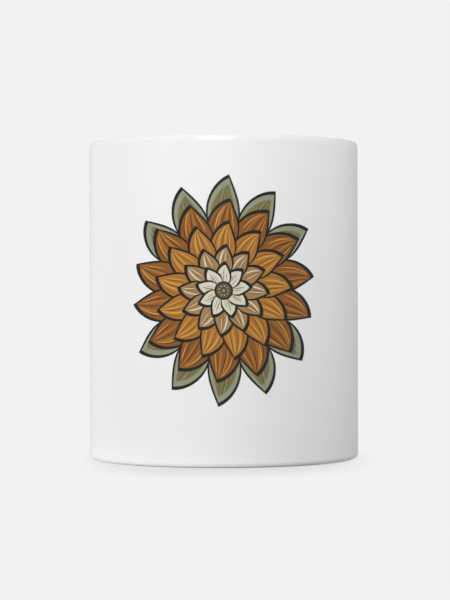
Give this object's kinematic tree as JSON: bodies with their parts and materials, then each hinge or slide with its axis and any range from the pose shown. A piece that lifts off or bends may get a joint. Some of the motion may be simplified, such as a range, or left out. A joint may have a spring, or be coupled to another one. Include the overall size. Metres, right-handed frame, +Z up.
{
  "type": "drinking mug",
  "caption": "Straight-sided white glazed ceramic drinking mug with one loop handle and a flower printed on the side away from it.",
  "frame": {"origin": "centre of the foot ring's flat face, on the mug's own axis, where the mug stands on a table", "axes": "+Z up along the mug's axis, +Y towards the handle, -Y towards the printed picture"},
  "size_m": [0.082, 0.1146, 0.096],
  "materials": {
    "clay": "bare fired clay",
    "slip": "fired slip",
    "glaze": "white gloss glaze",
    "eye_ink": "grey-brown ink fired on the glaze",
    "cream_petal_ink": "cream ink fired on the glaze",
    "tan_petal_ink": "tan ink fired on the glaze",
    "front_petal_ink": "ochre ink fired on the glaze",
    "back_petal_ink": "dark ochre ink fired on the glaze",
    "leaf_ink": "olive ink fired on the glaze",
    "leaf_edge_ink": "sage ink fired on the glaze",
    "line_ink": "near-black ink fired on the glaze"
  },
  "bodies": {
    "root": {"body": "clay", "handle": "clay", "upper_slip": "slip", "lower_slip": "slip", "lining_glaze": "glaze", "outer_glaze": "glaze", "handle_glaze": "glaze", "base_glaze": "glaze", "eye_ink": "eye_ink", "cream_petal_ink": "cream_petal_ink", "tan_petal_ink": "tan_petal_ink", "front_petal_ink": "front_petal_ink", "back_petal_ink": "back_petal_ink", "leaf_ink": "leaf_ink", "leaf_edge_ink": "leaf_edge_ink", "line_ink": "line_ink"}
  },
  "joints": []
}
